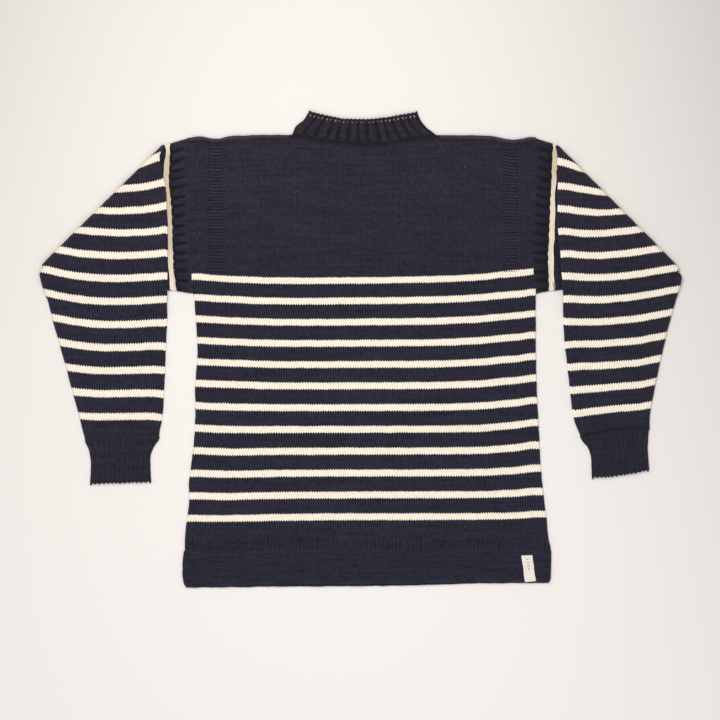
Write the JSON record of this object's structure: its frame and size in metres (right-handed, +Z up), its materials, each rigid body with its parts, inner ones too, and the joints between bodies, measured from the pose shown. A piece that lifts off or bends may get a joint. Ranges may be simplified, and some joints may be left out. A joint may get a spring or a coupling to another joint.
{
  "type": "breton sweater",
  "caption": "Striped wool sweater laid out flat, front up, with a ribbed stand collar, ribbed armhole bands and cuffs, split garter welts and sleeves folded over at the shoulders.",
  "frame": {"origin": "middle of the laid garment, on the surface it lies on", "axes": "+X across the body to the viewer's right, +Y from the hem to the collar, +Z up from the surface through the layers"},
  "size_m": [0.9918, 0.7356, 0.0105],
  "materials": {
    "navy_wool": "navy worsted wool in stockinette, with cream stripes four courses deep",
    "navy_rib": "navy worsted wool in rib and garter stitch",
    "cream_tape": "cream woven tape, with plain grey bars"
  },
  "bodies": {
    "root": {"front": "navy_wool", "back": "navy_wool", "collar": "navy_rib", "armhole_rib_left": "navy_rib", "armhole_rib_right": "navy_rib", "sleeve_left": "navy_wool", "sleeve_right": "navy_wool", "cuff_left": "navy_rib", "cuff_right": "navy_rib", "welt_front": "navy_rib", "welt_back": "navy_rib", "label": "cream_tape"}
  },
  "joints": []
}
